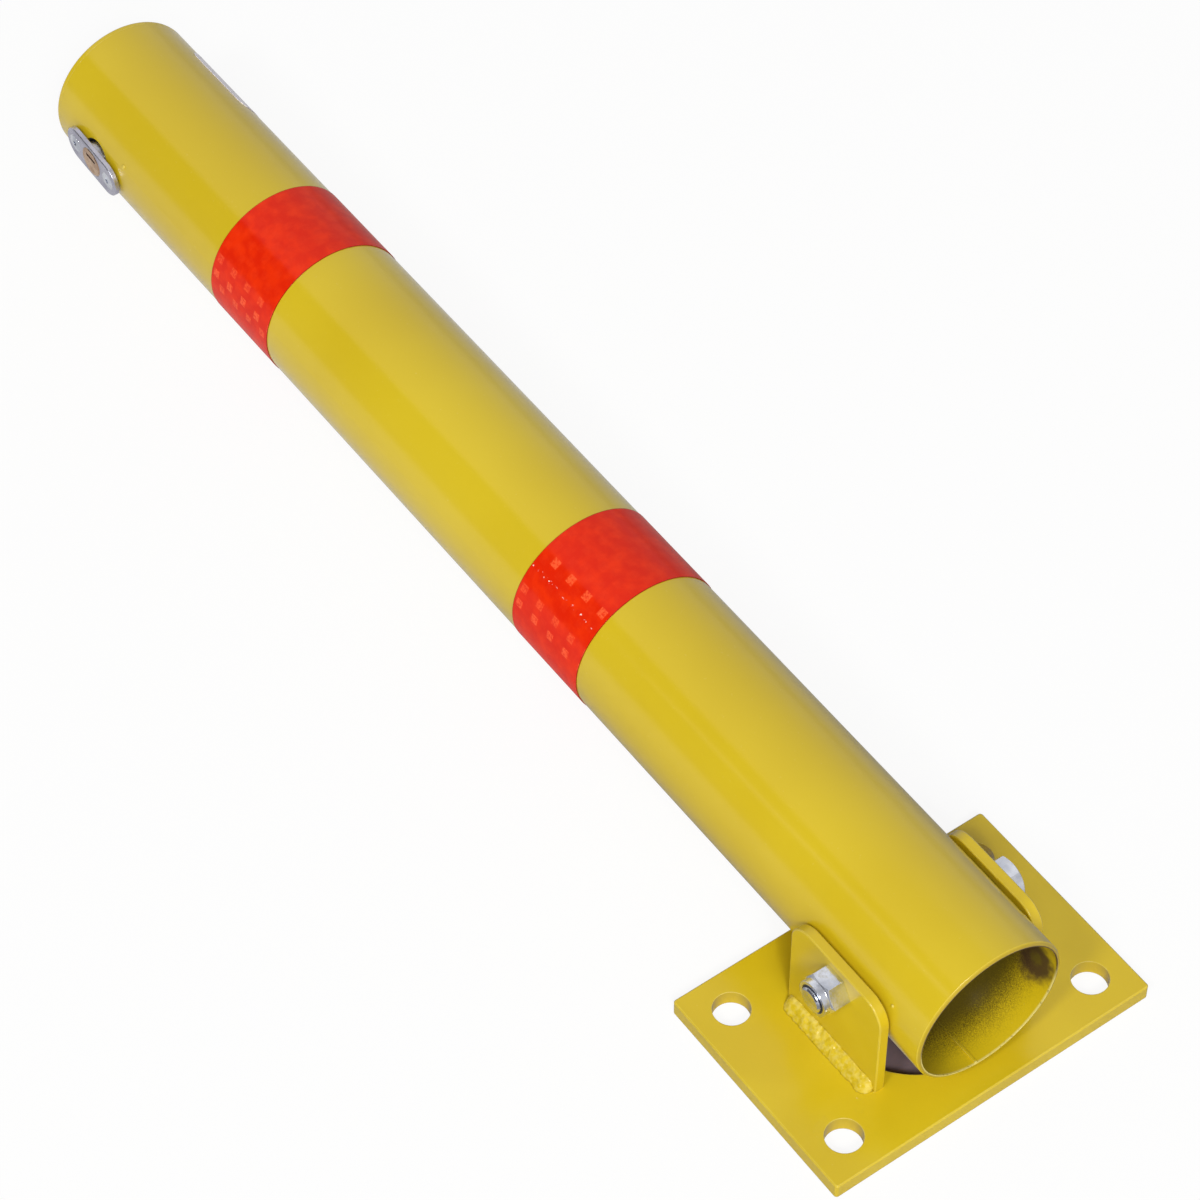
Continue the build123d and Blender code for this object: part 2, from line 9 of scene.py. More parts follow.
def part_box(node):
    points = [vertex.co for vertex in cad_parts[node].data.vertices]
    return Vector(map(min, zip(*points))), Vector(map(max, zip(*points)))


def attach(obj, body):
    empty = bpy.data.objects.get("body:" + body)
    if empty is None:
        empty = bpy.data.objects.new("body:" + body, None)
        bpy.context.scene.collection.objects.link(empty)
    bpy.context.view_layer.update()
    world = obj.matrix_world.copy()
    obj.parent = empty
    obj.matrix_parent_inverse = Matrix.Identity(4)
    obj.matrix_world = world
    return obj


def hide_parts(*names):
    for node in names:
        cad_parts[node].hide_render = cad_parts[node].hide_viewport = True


# Looks of the lockable parking bollard, folded down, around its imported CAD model.
# Lengths are in metres, in the model's frame: X along the folded post, Z up from the ground.
# Angles round the post are taken from its top, towards its far side (+Y).
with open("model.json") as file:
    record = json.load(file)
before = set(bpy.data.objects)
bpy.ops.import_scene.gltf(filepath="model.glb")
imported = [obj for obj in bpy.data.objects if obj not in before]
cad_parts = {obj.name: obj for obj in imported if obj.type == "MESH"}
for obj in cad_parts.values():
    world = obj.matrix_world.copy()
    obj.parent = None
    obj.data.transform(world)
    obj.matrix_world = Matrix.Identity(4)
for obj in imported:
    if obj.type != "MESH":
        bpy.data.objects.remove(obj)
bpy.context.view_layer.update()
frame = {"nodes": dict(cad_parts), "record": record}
MM = 0.001

# Camera, fitted to the photograph by the plate's corners and holes, the bands and the post's ends
CAMERA_PLACE = (0.68989, -0.64998, 1.42456)
CAMERA_TARGET = (-0.22507, -0.00175, 0.05300)
CAMERA_ROLL = math.radians(-0.609)
CAMERA_LENS = 118.44
CAMERA_SENSOR = 36

# Light: a wide soft lamp with a small hard one in its middle, beside the camera, a second soft one
# that is lower on the near side, and an even sky
LAMP_DISTANCE = 7
KEY_DIRECTION = (0.62, -0.33, 0.70)
SOFT_KEY_SIZE = 2.2
SOFT_KEY_POWER = 250
HARD_KEY_SIZE = 0.5
HARD_KEY_POWER = 110
FILL_DIRECTION = (0.25, -0.62, 0.74)
FILL_SIZE = 1.2
FILL_POWER = 148
SKY_LIGHT = 0.276
SKY_MIRRORED = 0.8
WHITE = (1, 1, 1, 1)

# Floor: white to the camera, apart from a part of its own light and shade, with a painted shade on the ground
# under the plate's middle opening
FLOOR_SIZE = 12
FLOOR_DROP = 0.2 * MM
FLOOR_WHITE = 0.9
FLOOR_COLOUR = (240, 239, 238)
SHADED_GROUND_COLOUR = (112, 96, 100)
SHADED_GROUND_RADIUS = 41 * MM
SHADED_GROUND_FADE = 2 * MM

# Card under the floor that gloss mirrors, dimmer close to the object: a painted shadow of the object in the
# mirrored floor
FLOOR_CARD_SIZE = 10
FLOOR_CARD_STRENGTH = 0.6
FLOOR_CARD_MIDDLE_STRENGTH = 0.3
MIDDLE_START = 0.1
MIDDLE_END = 0.45

# Edges, found by how far a rounded normal leans from the plain one, as a cosine
BEVEL_SAMPLES = 6
FLAT_COSINE = 0.995
EDGE_COSINE = 0.88

# Paint
YELLOW = (210, 183, 28)
YELLOW_DEEP = (203, 175, 22)
# Pale yellow of wear and dust, also used for painted highlights on edges
YELLOW_WORN_AND_HIGHLIGHT = (228, 212, 118)
PAINT_GLOSS = {"Specular_IOR_Level": 0.1, "Coat_Weight": 1.0, "Coat_Roughness": 0.19}
POST_CLOUD_SIZE = 120 * MM
BASE_CLOUD_SIZE = 50 * MM
GLOSS_CLOUD_SIZE = 20 * MM
FLECK_SIZE = 1.6 * MM
EDGE_WEAR_AND_HIGHLIGHT_SIZE = 6 * MM
PEEL_SIZE = 1.3 * MM
PEEL_DEPTH = 0.012 * MM
POST_EDGE_RADIUS = 0.3 * MM
BASE_EDGE_RADIUS = 0.7 * MM

# Foot of the post: painted shade on the end face and, darker, on its thin inner edge, which is worn on its
# lower half
END_FACE_SHADE = (176, 149, 18)
END_SHADE = (84, 56, 10)
END_FACE_START = 1.1 * MM
END_FACE_END = 0.3 * MM
INNER_EDGE_START = 0.8 * MM
INNER_EDGE_END = 0.4 * MM
LOWER_HALF_START = 5 * MM
LOWER_HALF_END = -10 * MM
CHIP_SIZE = 1.6 * MM

# Inside of the tube: dark overspray that thins out towards the foot, painted shade on its near wall, and a
# smudge near its top edge
OVERSPRAY_AND_SHADE = (90, 76, 18)
OVERSPRAY_START = 2 * MM
OVERSPRAY_END = 27 * MM
CLEAN_TOP_START = 20 * MM
CLEAN_TOP_END = 40 * MM
NEAR_WALL_SHADE_START = -5 * MM
NEAR_WALL_SHADE_END = -34 * MM
NEAR_WALL_SHADE_STRENGTH = 0.3
SPECK_SIZE = 0.55 * MM
SPECK_STRENGTH = 1.4
SMUDGE = (62, 42, 34)
SMUDGE_MIDDLE = (88, 76, 26)
SMUDGE_FROM_FOOT = 12 * MM
SMUDGE_BELOW_AXIS = 6 * MM
SMUDGE_RADIUS = 14 * MM
SMUDGE_CORE = 7 * MM
SMUDGE_MIDDLE_RADIUS = 5 * MM
SMUDGE_RAG_SIZE = 3 * MM
SMUDGE_RAG_DEPTH = 7 * MM
SMUDGE_COVER = 0.92

# Weld beads: thick dusty paint over lumps. Each row of lumps is a height as a share of the bead's
# size, repeats along and round the bead, and an offset into the noise.
LUMP_SIZE = 2.6 * MM
LUMP_DEPTH = 0.15 * MM
DUST_SIZE = 2.2 * MM
BEAD_ROUNDNESS = 0.45
BEAD_FULLNESS = 0.97
BEAD_END_LENGTH = 0.8
BEAD_WANDER = 0.08
WANDER_REPEATS = 90
BEAD_LUMPS = ((0.1, 230, 1.5, 0), (0.06, 520, 3.0, 5), (0.03, 1500, 8.0, 9))
MERGE_DISTANCE = 0.001 * MM

# Reflective tape. Rows of squares that catch the light, which get painted glints, are given by their angle in
# degrees.
RED = (232, 48, 3)
RED_DEEP = (218, 33, 1)
RED_SQUARE_AND_GLINT = (250, 92, 48)
RED_EDGE = (140, 32, 14)
CREASE_GLINT_WHITE = (250, 226, 214)
SQUARE_PITCH_ALONG = 11.7 * MM
SQUARE_PITCH_ROUND = math.radians(12.6)
SQUARE_SIZE = 4.2 * MM
SQUARE_FADE = 0.03
FIRST_SQUARE_FROM_END = 3.7 * MM
FIRST_SQUARE_ANGLE = math.radians(-61.5)
SECOND_GRID_SHIFT = (0.5, 0.3)
GRID_START = 100.5
ROW_END = math.radians(5.5)
ROW_FADE = math.radians(3.5)
OTHER_STRAIGHT_ROWS = 0.06
OTHER_SHIFTED_ROWS = 0.05
SQUARE_HEIGHT = 0.08 * MM
TAPE_EDGE = 0.35 * MM
TAPE_EDGE_CORE = 0.3 * TAPE_EDGE
TAPE_LAP = 0.3 * MM
CREASE_ANGLE = math.radians(-44)
CREASE_END = math.radians(1.6)
CREASE_CORE = math.radians(0.5)

# Blank label
FILM_PALE = (232, 226, 236)
FILM_WHITE = (246, 241, 249)
FILM_DUST = (182, 178, 194)
FILM_BORDER = (150, 145, 166)
BORDER_START = 1.2 * MM
BORDER_END = 0.6 * MM

# Metal
BRIGHT_EDGE = (252, 252, 255)
BRIGHT_EDGE_COVER = 0.8
SCRATCH_DEPTH = 0.03 * MM

# Sizes that the CAD nodes give
tube_low, tube_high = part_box("post_tube")
plate_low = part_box("base_plate")[0]
guide_low, guide_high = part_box("lower_rod_guide")
upper_band_low, upper_band_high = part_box("upper_reflective_band")
lower_band_low, lower_band_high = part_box("lower_reflective_band")
label_low, label_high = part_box("blank_label")
post_radius = (tube_high.z - tube_low.z) / 2
bore_radius = (guide_high.z - guide_low.z) / 2
band_radius = (upper_band_high.z - upper_band_low.z) / 2
band_width = upper_band_high.x - upper_band_low.x
pivot_z = (tube_high.z + tube_low.z) / 2
foot_x = tube_high.x
mid_wall = (post_radius + bore_radius) / 2
wall_inside = bore_radius + 0.2 * MM


def colour(rgb):
    """Scene colour of a colour written as three screen values from 0 to 255."""
    linear = []
    for value in rgb:
        share = value / 255
        linear.append(share / 12.92 if share <= 0.04045 else ((share + 0.055) / 1.055) ** 2.4)
    return (*linear, 1.0)


class Nodes:
    """A node tree being made, with one short call for each kind of step."""

    def __init__(self, owner):
        owner.use_nodes = True
        self.tree = owner.node_tree
        self.tree.nodes.clear()

    def add(self, kind, inputs=None, **settings):
        node = self.tree.nodes.new("ShaderNode" + kind)
        for name, value in settings.items():
            setattr(node, name, value)
        for name, value in (inputs or {}).items():
            self.feed(node.inputs[name], value)
        return node

    def feed(self, socket, value):
        if isinstance(value, bpy.types.NodeSocket):
            self.tree.links.new(value, socket)
        else:
            socket.default_value = value

    def math(self, operation, first, second=0.0):
        return self.add("Math", {0: first, 1: second}, operation=operation).outputs[0]

    def times(self, *values):
        product = values[0]
        for value in values[1:]:
            product = self.math("MULTIPLY", product, value)
        return product

    def plus(self, first, second):
        return self.math("ADD", first, second)

    def minus(self, first, second):
        return self.math("SUBTRACT", first, second)

    def larger(self, first, second):
        return self.math("MAXIMUM", first, second)

    def apart(self, value, middle):
        """Distance of a value from another."""
        return self.math("ABSOLUTE", self.minus(value, middle))

    def length(self, first, second):
        """Length over two distances at right angles."""
        squares = self.plus(self.math("POWER", first, 2.0), self.math("POWER", second, 2.0))
        return self.math("SQRT", squares)

    def ease(self, value, start, end, low=0.0, high=1.0):
        """Smooth step of a value, from low at start to high at end."""
        inputs = {"Value": value, "From Min": start, "From Max": end, "To Min": low, "To Max": high}
        return self.add("MapRange", inputs, interpolation_type="SMOOTHSTEP").outputs["Result"]

    def mix(self, factor, first, second):
        node = self.add("Mix", {0: factor, 6: first, 7: second}, data_type="RGBA")
        return node.outputs[2]

    def from_origin(self):
        """Distance from the origin of what wears the material."""
        place = self.add("TexCoord").outputs["Object"]
        return self.add("VectorMath", {0: place}, operation="LENGTH").outputs["Value"]

    def seen_directly(self):
        """1 for camera rays, and 0 for others."""
        return self.add("LightPath").outputs["Is Camera Ray"]

    def mirrored(self):
        """1 for rays off gloss and through glass, and 0 for others."""
        path = self.add("LightPath").outputs
        return self.larger(path["Is Glossy Ray"], path["Is Transmission Ray"])


class Finish(Nodes):
    """A material of the object, around one principled shader."""

    def __init__(self, name, **settings):
        self.material = bpy.data.materials.new(name)
        super().__init__(self.material)
        self.shader = self.add("BsdfPrincipled")
        self.add("OutputMaterial", {"Surface": self.shader.outputs["BSDF"]})
        self.place = self.add("TexCoord").outputs["Object"]
        for socket, value in settings.items():
            self.feed(self.shader.inputs[socket.replace("_", " ")], value)

    def set(self, socket, value):
        self.feed(self.shader.inputs[socket], value)

    def noise(self, size, detail=3.0):
        """Noise from 0 to 1 whose features are about size metres across."""
        inputs = {"Vector": self.place, "Scale": 1 / size, "Detail": detail}
        return self.add("TexNoise", inputs).outputs["Fac"]

    def patches(self, size, detail, between, gives=(0.0, 1.0)):
        """Noise, eased so that its values between two bounds give two others."""
        return self.ease(self.noise(size, detail), *between, *gives)

    def rounded(self, radius):
        return self.add("Bevel", {"Radius": radius}, samples=BEVEL_SAMPLES).outputs["Normal"]

    def edges(self, radius):
        """1 on edges and 0 away from them."""
        plain = self.add("NewGeometry").outputs["Normal"]
        node = self.add("VectorMath", {0: self.rounded(radius), 1: plain}, operation="DOT_PRODUCT")
        return self.ease(node.outputs["Value"], FLAT_COSINE, EDGE_COSINE)

    def relief(self, height, depth, edge_radius):
        """Bump and rounded edges, for the surface and for the gloss on it."""
        inputs = {"Height": height, "Distance": depth, "Normal": self.rounded(edge_radius)}
        normal = self.add("Bump", inputs).outputs["Normal"]
        self.set("Normal", normal)
        self.set("Coat Normal", normal)

    def axis(self, letter):
        """Place along one axis of the model's frame."""
        return self.add("SeparateXYZ", {0: self.place}).outputs[letter]

    def above_pivot(self):
        return self.minus(self.axis("Z"), pivot_z)

    def from_post_axis(self):
        return self.length(self.axis("Y"), self.above_pivot())

    def angle_round_post(self):
        return self.math("ARCTAN2", self.axis("Y"), self.above_pivot())


def paint_base(finish, edge_radius, cloud_size):
    """Yellow paint with soft clouds, fine orange peel, and paler edges that are partly wear and partly
    painted highlight. Returns its colour.
    """
    clouds = finish.patches(cloud_size, 2.0, (0.35, 0.7))
    paint = finish.mix(clouds, colour(YELLOW_DEEP), colour(YELLOW))
    flecks = finish.patches(FLECK_SIZE, 6.0, (0.64, 0.85), (0.0, 0.25))
    paint = finish.mix(flecks, paint, colour(YELLOW_WORN_AND_HIGHLIGHT))
    # Paler edges: partly wear, and partly a painted highlight on edges that catch the light
    edge_wear_and_highlight = finish.times(finish.edges(edge_radius), finish.patches(EDGE_WEAR_AND_HIGHLIGHT_SIZE, 3.0, (0.2, 0.7), (0.3, 0.8)))
    paint = finish.mix(edge_wear_and_highlight, paint, colour(YELLOW_WORN_AND_HIGHLIGHT))
    finish.set("Roughness", finish.patches(GLOSS_CLOUD_SIZE, 3.0, (0.3, 0.7), (0.38, 0.5)))
    finish.relief(finish.noise(PEEL_SIZE, 1.0), PEEL_DEPTH, edge_radius)
    return paint


def darken_inside(finish, paint):
    """Darkens the tube's inside: overspray specks that thicken with depth, painted shade on its near wall,
    and a soft smudge on its far wall.
    """
    x = finish.axis("X")
    y = finish.axis("Y")
    radius = finish.from_post_axis()
    clear_of_cap = finish.ease(x, tube_low.x + CLEAN_TOP_START, tube_low.x + CLEAN_TOP_END)
    inside = finish.times(finish.ease(radius, mid_wall, wall_inside), clear_of_cap)
    depth = finish.ease(x, foot_x - OVERSPRAY_START, foot_x - OVERSPRAY_END)
    # Painted shade on the near wall, where the inside is in shadow
    near_wall_shade = finish.ease(y, NEAR_WALL_SHADE_START, NEAR_WALL_SHADE_END, high=NEAR_WALL_SHADE_STRENGTH)
    inside_darkening = finish.plus(depth, near_wall_shade)
    # Single specks show most at half the depth, where the overspray is neither thin nor closed
    thinning = finish.plus(0.3, finish.times(4.0, depth, finish.minus(1.0, depth)))
    specks = finish.times(finish.minus(finish.noise(SPECK_SIZE, 2.0), 0.5), thinning, SPECK_STRENGTH)
    paint = finish.mix(finish.times(finish.plus(inside_darkening, specks), inside), paint, colour(OVERSPRAY_AND_SHADE))
    along = finish.minus(x, foot_x - SMUDGE_FROM_FOOT)
    down = finish.minus(finish.axis("Z"), pivot_z - SMUDGE_BELOW_AXIS)
    ragged = finish.times(finish.minus(finish.noise(SMUDGE_RAG_SIZE, 5.0), 0.5), SMUDGE_RAG_DEPTH)
    distance = finish.plus(finish.length(along, down), ragged)
    far_wall = finish.ease(y, 0.0, 10 * MM)
    smudged = finish.times(finish.ease(distance, SMUDGE_RADIUS, SMUDGE_CORE), far_wall, inside)
    middle = finish.ease(distance, SMUDGE_MIDDLE_RADIUS, 1 * MM, high=0.8)
    tone = finish.mix(middle, colour(SMUDGE), colour(SMUDGE_MIDDLE))
    return finish.mix(finish.times(smudged, SMUDGE_COVER), paint, tone)


def post_paint():
    """Paint of the post, with its dark inside, and painted shade on its end face and thin inner edge, worn
    below.
    """
    finish = Finish("post_paint", **PAINT_GLOSS)
    paint = darken_inside(finish, paint_base(finish, POST_EDGE_RADIUS, POST_CLOUD_SIZE))
    # Painted shade: a darker yellow on the end face, and a dark shade on its thin inner edge, with pale worn
    # chips on the lower half
    end_face = finish.ease(finish.axis("X"), foot_x - END_FACE_START, foot_x - END_FACE_END)
    radius = finish.from_post_axis()
    inner_edge = finish.ease(radius, bore_radius + INNER_EDGE_START, bore_radius + INNER_EDGE_END)
    lower_half = finish.ease(finish.axis("Z"), pivot_z + LOWER_HALF_START, pivot_z + LOWER_HALF_END)
    chips = finish.times(lower_half, finish.patches(CHIP_SIZE, 4.0, (0.34, 0.44), (0.5, 0.9)))
    rim = finish.mix(chips, colour(END_SHADE), colour(YELLOW_WORN_AND_HIGHLIGHT))
    rim = finish.mix(inner_edge, colour(END_FACE_SHADE), rim)
    finish.set("Base Color", finish.mix(end_face, paint, rim))
    return finish.material


def base_paint():
    finish = Finish("base_paint", **PAINT_GLOSS)
    finish.set("Base Color", paint_base(finish, BASE_EDGE_RADIUS, BASE_CLOUD_SIZE))
    return finish.material


def weld_paint():
    """Thick dusty paint over the weld beads."""
    finish = Finish("weld_paint", **PAINT_GLOSS)
    lumps = finish.noise(LUMP_SIZE, 3.0)
    paint = finish.mix(finish.ease(lumps, 0.35, 0.7), colour(YELLOW_DEEP), colour(YELLOW))
    dust = finish.patches(DUST_SIZE, 5.0, (0.4, 0.66), (0.0, 0.42))
    finish.set("Base Color", finish.mix(dust, paint, colour(YELLOW_WORN_AND_HIGHLIGHT)))
    finish.set("Roughness", finish.patches(3 * MM, 3.0, (0.3, 0.7), (0.3, 0.5)))
    finish.relief(lumps, LUMP_DEPTH, POST_EDGE_RADIUS)
    return finish.material


def red_tape():
    """Prismatic tape with a staggered grid of small squares, painted glints on some of their rows, dark cut
    ends and one crease with painted glints in flecks.
    """
    finish = Finish("red_tape", Specular_IOR_Level=0.0, Coat_Weight=0.45, Coat_Roughness=0.17)
    x = finish.axis("X")
    angle = finish.angle_round_post()
    from_end = finish.math(
        "FLOORED_MODULO",
        finish.minus(x, upper_band_low.x),
        lower_band_low.x - upper_band_low.x,
    )
    along = finish.math("DIVIDE", finish.minus(from_end, FIRST_SQUARE_FROM_END), SQUARE_PITCH_ALONG)
    around = finish.math("DIVIDE", finish.minus(angle, FIRST_SQUARE_ANGLE), SQUARE_PITCH_ROUND)

    def squares_at(shift_along, shift_round):
        """One square in each cell of the grid, shifted by shares of the pitches."""
        masks = []
        for steps, shift, pitch in (
            (along, shift_along, SQUARE_PITCH_ALONG),
            (around, shift_round, SQUARE_PITCH_ROUND * post_radius),
        ):
            cell = finish.math("FRACT", finish.plus(steps, GRID_START - shift))
            edge = SQUARE_SIZE / 2 / pitch
            masks.append(finish.ease(finish.apart(cell, 0.5), edge + SQUARE_FADE, edge - SQUARE_FADE))
        return finish.times(*masks)

    def lit_row(degrees, strength):
        """Painted glint strength within half a pitch of an angle, and 0 elsewhere."""
        return finish.ease(finish.apart(angle, math.radians(degrees)), ROW_END, ROW_FADE, high=strength)

    on_lower_band = finish.ease(x, upper_band_high.x, lower_band_low.x)
    on_upper_band = finish.minus(1.0, on_lower_band)
    # Painted glints: rows of squares made brighter where they catch the light
    straight_rows = finish.larger(lit_row(-73.5, 0.9), lit_row(-61.5, 0.6))
    shifted_rows = finish.larger(
        finish.times(lit_row(-82, 0.7), on_upper_band),
        finish.times(lit_row(-32.5, 1.0), on_lower_band),
    )
    straight = finish.times(squares_at(0.0, 0.0), finish.larger(straight_rows, OTHER_STRAIGHT_ROWS))
    shifted = finish.times(
        squares_at(*SECOND_GRID_SHIFT),
        finish.larger(shifted_rows, OTHER_SHIFTED_ROWS),
    )
    squares = finish.larger(straight, shifted)
    squares = finish.times(squares, finish.patches(1.1 * MM, 3.0, (0.36, 0.6), (0.25, 1.0)))
    tape = finish.mix(finish.patches(7 * MM, 4.0, (0.35, 0.75)), colour(RED_DEEP), colour(RED))
    tape = finish.mix(squares, tape, colour(RED_SQUARE_AND_GLINT))
    # Painted glints in flecks along the crease
    crease = finish.ease(finish.apart(angle, CREASE_ANGLE), CREASE_END, CREASE_CORE)
    flecks = finish.times(crease, on_lower_band, finish.patches(1.5 * MM, 3.0, (0.6, 0.68)))
    tape = finish.mix(flecks, tape, colour(CREASE_GLINT_WHITE))
    # Cut ends
    half_width = band_width / 2
    off_middle = finish.apart(from_end, half_width)
    cut = finish.ease(off_middle, half_width - TAPE_EDGE, half_width - TAPE_EDGE_CORE, high=0.85)
    finish.set("Base Color", finish.mix(cut, tape, colour(RED_EDGE)))
    finish.set("Roughness", finish.patches(4 * MM, 3.0, (0.3, 0.7), (0.3, 0.5)))
    finish.relief(finish.plus(squares, flecks), SQUARE_HEIGHT, 0.2 * MM)
    return finish.material


def label_film():
    """Pale blank film with a thin darker border."""
    finish = Finish("label_film", Specular_IOR_Level=0.4, Coat_Weight=0.3, Coat_Roughness=0.15)
    film = finish.mix(finish.noise(8 * MM), colour(FILM_PALE), colour(FILM_WHITE))
    dust = finish.patches(2 * MM, 5.0, (0.6, 0.8), (0.0, 0.4))
    film = finish.mix(dust, film, colour(FILM_DUST))
    off_middle = finish.apart(finish.axis("X"), (label_low.x + label_high.x) / 2)
    half_length = (label_high.x - label_low.x) / 2
    border = finish.ease(off_middle, half_length - BORDER_START, half_length - BORDER_END, high=0.7)
    finish.set("Base Color", finish.mix(border, film, colour(FILM_BORDER)))
    finish.set("Roughness", finish.patches(10 * MM, 3.0, (0.3, 0.7), (0.28, 0.4)))
    return finish.material


def metal(name, light, dark, roughness, grain, edge_radius=0.35 * MM, stain=None):
    """Worn metal: two tones in clouds, fine scratches, and bright edges."""
    finish = Finish(name, Metallic=1.0)
    tone = finish.mix(finish.patches(grain * 6, 2.0, (0.35, 0.65)), colour(dark), colour(light))
    if stain:
        stained = finish.patches(grain * 3, 2.0, (0.55, 0.8), (0.0, 0.6))
        tone = finish.mix(stained, tone, colour(stain))
    worn = finish.times(finish.edges(edge_radius), BRIGHT_EDGE_COVER)
    finish.set("Base Color", finish.mix(worn, tone, colour(BRIGHT_EDGE)))
    scratches = finish.noise(grain, 1.0)
    finish.set("Roughness", finish.ease(scratches, 0.3, 0.7, roughness - 0.05, roughness + 0.06))
    finish.relief(scratches, SCRATCH_DEPTH, edge_radius)
    return finish.material


def plastic(name, tone, roughness):
    finish = Finish(name)
    darker = tuple(0.8 * value for value in tone)
    finish.set("Base Color", finish.mix(finish.noise(3 * MM), colour(darker), colour(tone)))
    uneven = finish.patches(1 * MM, 3.0, (0.3, 0.7), (roughness - 0.08, roughness + 0.08))
    finish.set("Roughness", uneven)
    finish.relief(finish.noise(0.5 * MM), 0.02 * MM, 0.3 * MM)
    return finish.material


MATERIALS = {
    "post_paint": post_paint(),
    "base_paint": base_paint(),
    "weld_paint": weld_paint(),
    "red_tape": red_tape(),
    "label_film": label_film(),
    "zinc_steel": metal("zinc_steel", (240, 243, 252), (206, 210, 222), 0.2, 1.4 * MM, stain=(206, 200, 188)),
    "lock_steel": metal("lock_steel", (204, 203, 218), (184, 183, 200), 0.3, 1.2 * MM),
    "lock_zinc": metal("lock_zinc", (216, 216, 224), (176, 176, 188), 0.3, 1.0 * MM),
    "lock_brass": metal("lock_brass", (222, 190, 158), (190, 152, 120), 0.3, 0.8 * MM, 0.2 * MM),
    "inner_steel": metal("inner_steel", (170, 170, 172), (128, 128, 130), 0.38, 1.5 * MM),
    "insert_plastic": plastic("insert_plastic", (44, 46, 54), 0.4),
    "bush_plastic": plastic("bush_plastic", (52, 52, 54), 0.45),
}


def dress(piece, slot):
    """Gives a piece the material of one of the record's slots."""
    piece.data.materials.clear()
    piece.data.materials.append(MATERIALS[slot])


for subpart in frame["record"]["subparts"]:
    dress(frame["nodes"][subpart["node"]], subpart["material_slot"])


def add_piece(name, mesh, slot, body):
    """Makes a piece from a finished bmesh, in the finish of a slot, riding on a body."""
    bmesh.ops.recalc_face_normals(mesh, faces=mesh.faces)
    data = bpy.data.meshes.new(name)
    mesh.to_mesh(data)
    mesh.free()
    piece = bpy.data.objects.new(name, data)
    bpy.context.scene.collection.objects.link(piece)
    dress(piece, slot)
    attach(piece, body)
    return piece


def weld_bead(name, node, seed, stations=170, steps=18):
    """Lumpy bead along an ear's foot, in place of its plain CAD node."""
    low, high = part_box(node)
    outward = math.copysign(1, low.y + high.y)
    root_y = high.y if outward < 0 else low.y
    size = high.z - low.z
    mesh = bmesh.new()
    rows = []
    for station in range(stations + 1):
        x = low.x + (high.x - low.x) * station / stations
        from_end = min(1.0, min(x - low.x, high.x - x) / (BEAD_END_LENGTH * size))
        end_cap = math.sqrt(max(0.0, 1 - (1 - from_end) ** 2))
        wander = BEAD_WANDER * noise.noise((x * WANDER_REPEATS, seed, 4.0))
        row = [mesh.verts.new((x, root_y, low.z))]
        for step in range(steps + 1):
            angle = step / steps * math.pi / 2
            fullness = BEAD_FULLNESS + wander
            for height, along, around, offset in BEAD_LUMPS:
                fullness += height * noise.noise((x * along, angle * around, seed + offset))
            # Between a flat face and a round one
            face = 1 / (math.cos(angle) + math.sin(angle))
            bulge = face + BEAD_ROUNDNESS * (1 - face)
            reach = min(size, size * end_cap * bulge * fullness)
            place = (x, root_y + outward * reach * math.cos(angle), low.z + reach * math.sin(angle))
            row.append(mesh.verts.new(place))
        rows.append(row)
    for row, after in zip(rows, rows[1:]):
        for index in range(steps + 2):
            follow = (index + 1) % (steps + 2)
            face = mesh.faces.new((row[index], row[follow], after[follow], after[index]))
            face.smooth = True
    bmesh.ops.remove_doubles(mesh, verts=mesh.verts, dist=MERGE_DISTANCE)
    bead = add_piece(name, mesh, "weld_paint", "base")
    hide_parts(node)


weld_bead("near_weld_bead", "near_ear_weld", 3.1)
weld_bead("far_weld_bead", "far_ear_weld", 17.7)


def post_point(x, radius, angle):
    """Point at x along the folded post, at a distance from its axis and an angle round it."""
    return Vector((x, radius * math.sin(angle), pivot_z + radius * math.cos(angle)))


def strip_round_post(name, ends, angles, radii, slot, columns=2, rows=2, corner=0.0):
    """Thin curved strip on the post, columns along it by rows round it, with rounded corners."""
    start_x, end_x = ends
    start_angle, end_angle = angles
    mesh = bmesh.new()
    skins = []
    for radius in radii:
        skin = []
        for column in range(columns + 1):
            # Cosine spacing puts more columns near the ends, where the corners are
            x = start_x + (end_x - start_x) * (1 - math.cos(math.pi * column / columns)) / 2
            short = min(corner, max(0.0, corner - min(x - start_x, end_x - x)))
            inset = (corner - math.sqrt(corner**2 - short**2)) / radius
            line = []
            for row in range(rows + 1):
                angle = start_angle + inset + (end_angle - start_angle - 2 * inset) * row / rows
                line.append(mesh.verts.new(post_point(x, radius, angle)))
            skin.append(line)
        skins.append(skin)
    low_skin, high_skin = skins
    for column in range(columns):
        for row in range(rows):
            for skin in skins:
                near = (skin[column][row], skin[column + 1][row])
                mesh.faces.new((*near, skin[column + 1][row + 1], skin[column][row + 1]))
        for row in (0, rows):
            low_edge = (low_skin[column][row], low_skin[column + 1][row])
            mesh.faces.new((*low_edge, high_skin[column + 1][row], high_skin[column][row]))
    for row in range(rows):
        for column in (0, columns):
            low_edge = (low_skin[column][row], low_skin[column][row + 1])
            mesh.faces.new((*low_edge, high_skin[column][row + 1], high_skin[column][row]))
    return add_piece(name, mesh, slot, "post")


